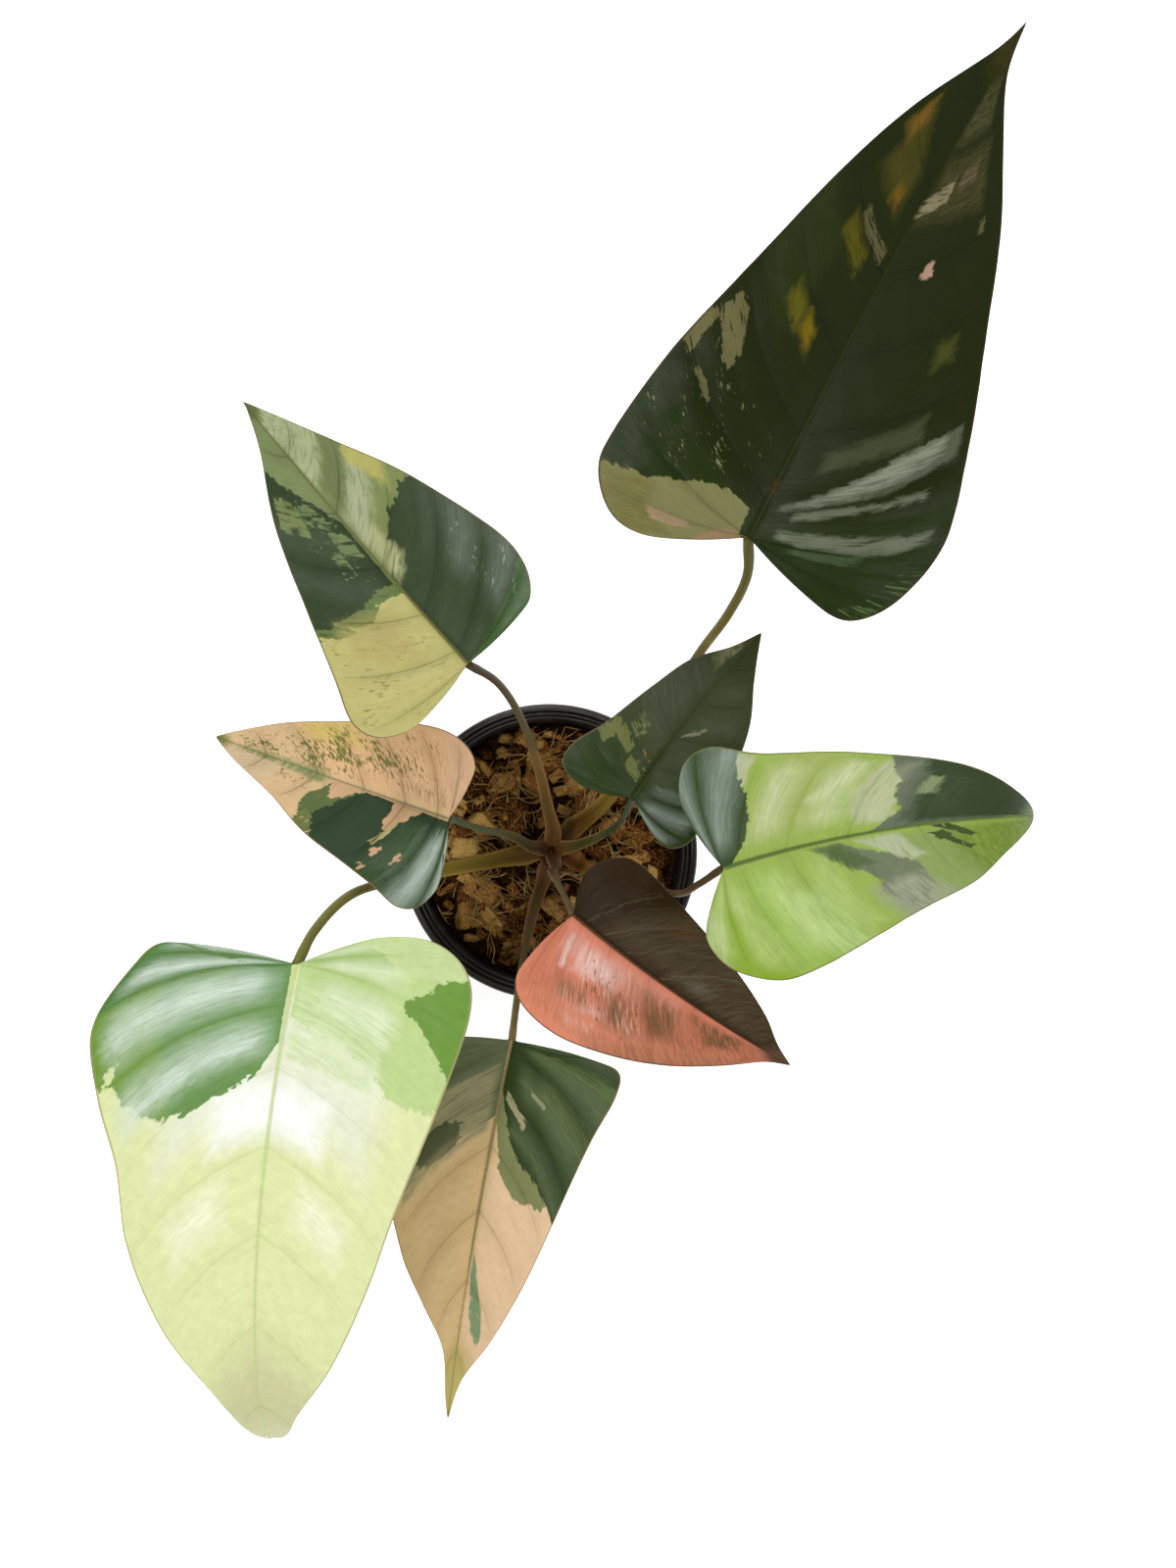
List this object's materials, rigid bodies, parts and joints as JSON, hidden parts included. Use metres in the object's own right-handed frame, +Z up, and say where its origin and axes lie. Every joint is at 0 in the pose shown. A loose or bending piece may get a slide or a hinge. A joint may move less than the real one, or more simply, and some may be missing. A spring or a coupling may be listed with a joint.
{
  "type": "potted pink diamond homalomena",
  "caption": "Potted aroid with eight heart-shaped variegated leaves on sheathed stalks, in a black nursery pot of husk.",
  "frame": {"origin": "middle of the pot's base, on the surface that the pot stands on", "axes": "+Z up; +Y towards the tip of the largest leaf, the upper edge of the picture; +X towards the right edge of the picture"},
  "size_m": [0.3636, 0.5692, 0.2507],
  "materials": {
    "pot_plastic": "satin moulded plastic, black, slightly scuffed",
    "coconut_husk": "rough, fibrous chips of coconut husk, damp brown with golden ends",
    "crown": "smooth reddish-brown stem",
    "petiole_upper_right": "smooth, slightly glossy leaf stalk",
    "blade_upper_right": "glossy variegated leaf, quilted between its side veins",
    "petiole_upper_left": "smooth, slightly glossy leaf stalk",
    "blade_upper_left": "glossy variegated leaf, quilted between its side veins",
    "petiole_left": "smooth, slightly glossy leaf stalk",
    "blade_left": "glossy variegated leaf, quilted between its side veins",
    "petiole_inner_right": "smooth, slightly glossy leaf stalk",
    "blade_inner_right": "glossy variegated leaf, quilted between its side veins",
    "petiole_right": "smooth, slightly glossy leaf stalk",
    "blade_right": "glossy variegated leaf, quilted between its side veins",
    "petiole_lower_right": "smooth, slightly glossy leaf stalk",
    "blade_lower_right": "glossy variegated leaf, quilted between its side veins",
    "petiole_lower_left": "smooth, slightly glossy leaf stalk",
    "blade_lower_left": "glossy variegated leaf, quilted between its side veins",
    "petiole_bottom": "smooth, slightly glossy leaf stalk",
    "blade_bottom": "glossy variegated leaf, quilted between its side veins"
  },
  "bodies": {
    "root": {"pot": "pot_plastic", "potting_mix": "coconut_husk", "crown": "crown", "petiole_upper_right": "petiole_upper_right", "blade_upper_right": "blade_upper_right", "petiole_upper_left": "petiole_upper_left", "blade_upper_left": "blade_upper_left", "petiole_left": "petiole_left", "blade_left": "blade_left", "petiole_inner_right": "petiole_inner_right", "blade_inner_right": "blade_inner_right", "petiole_right": "petiole_right", "blade_right": "blade_right", "petiole_lower_right": "petiole_lower_right", "blade_lower_right": "blade_lower_right", "petiole_lower_left": "petiole_lower_left", "blade_lower_left": "blade_lower_left", "petiole_bottom": "petiole_bottom", "blade_bottom": "blade_bottom"}
  },
  "joints": []
}
